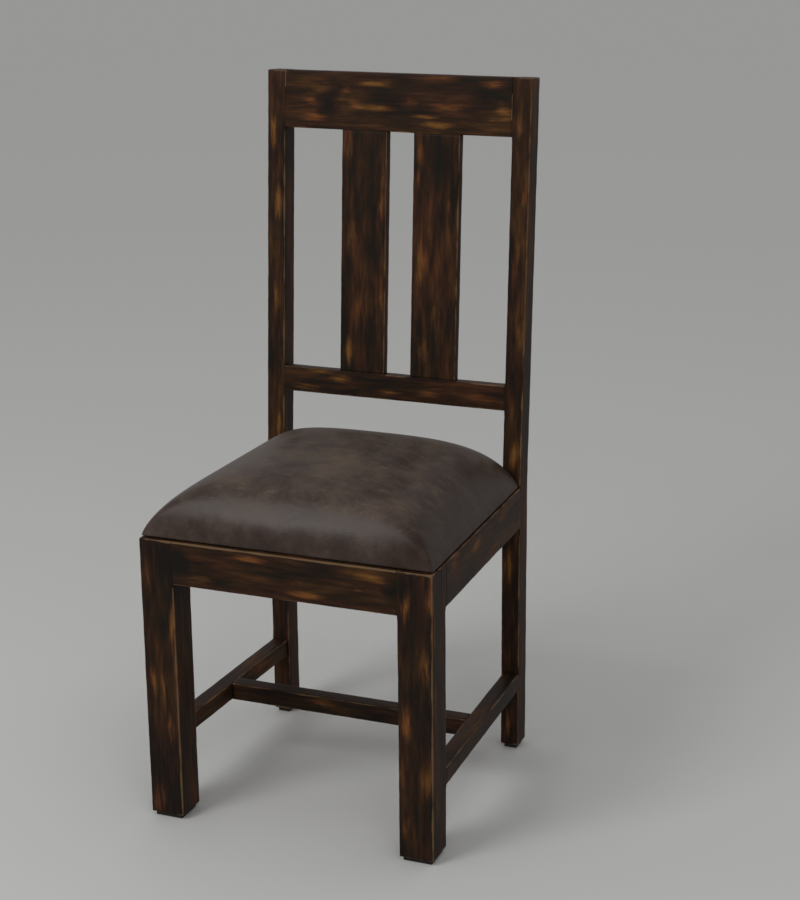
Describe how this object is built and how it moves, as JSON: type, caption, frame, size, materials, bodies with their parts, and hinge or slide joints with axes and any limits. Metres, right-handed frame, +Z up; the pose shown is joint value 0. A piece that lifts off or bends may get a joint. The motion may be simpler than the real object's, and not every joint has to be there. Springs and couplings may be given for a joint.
{
  "type": "dining chair",
  "caption": "Upright slat-back dining chair with square legs, a low H-stretcher, a dark rubbed-through finish and a crowned leather seat.",
  "frame": {"origin": "on the floor, under the middle of the chair's bounding box", "axes": "+Z up; the seat's front faces -Y and the back leans towards +Y; +X is to the right of someone who stands in front and looks at the chair"},
  "size_m": [0.452, 0.486, 1.06],
  "materials": {
    "worn_paint_wood": "near-black stain and paint, rubbed through to orange-brown wood on faces and edges, low satin",
    "bare_wood": "sawn, unfinished",
    "plywood": "sanded plywood, unfinished",
    "foam": "matte open-cell foam",
    "seat_leather": "dark brown waxed leather, mottled and dusty on the crown, soft satin sheen",
    "foot_pad": "matte",
    "screw_steel": "zinc plated, dull"
  },
  "bodies": {
    "root": {"front_leg_left": "worn_paint_wood", "front_leg_right": "worn_paint_wood", "rear_post_left": "worn_paint_wood", "rear_post_right": "worn_paint_wood", "crest_rail": "worn_paint_wood", "lower_back_rail": "worn_paint_wood", "back_slat_left": "worn_paint_wood", "back_slat_right": "worn_paint_wood", "front_apron": "worn_paint_wood", "rear_apron": "worn_paint_wood", "side_apron_left": "worn_paint_wood", "side_apron_right": "worn_paint_wood", "side_stretcher_left": "worn_paint_wood", "side_stretcher_right": "worn_paint_wood", "cross_stretcher": "worn_paint_wood", "corner_block_front_left": "bare_wood", "corner_block_front_right": "bare_wood", "corner_block_rear_left": "bare_wood", "corner_block_rear_right": "bare_wood", "seat_board": "plywood", "seat_foam": "foam", "seat_leather": "seat_leather", "foot_pad_front_left": "foot_pad", "foot_pad_front_right": "foot_pad", "foot_pad_rear_left": "foot_pad", "foot_pad_rear_right": "foot_pad", "seat_screw_front_left": "screw_steel", "seat_screw_front_right": "screw_steel", "seat_screw_rear_left": "screw_steel", "seat_screw_rear_right": "screw_steel", "block_screw_front_left_a": "screw_steel", "block_screw_front_left_b": "screw_steel", "block_screw_front_right_a": "screw_steel", "block_screw_front_right_b": "screw_steel", "block_screw_rear_left_a": "screw_steel", "block_screw_rear_left_b": "screw_steel", "block_screw_rear_right_a": "screw_steel", "block_screw_rear_right_b": "screw_steel"}
  },
  "joints": []
}
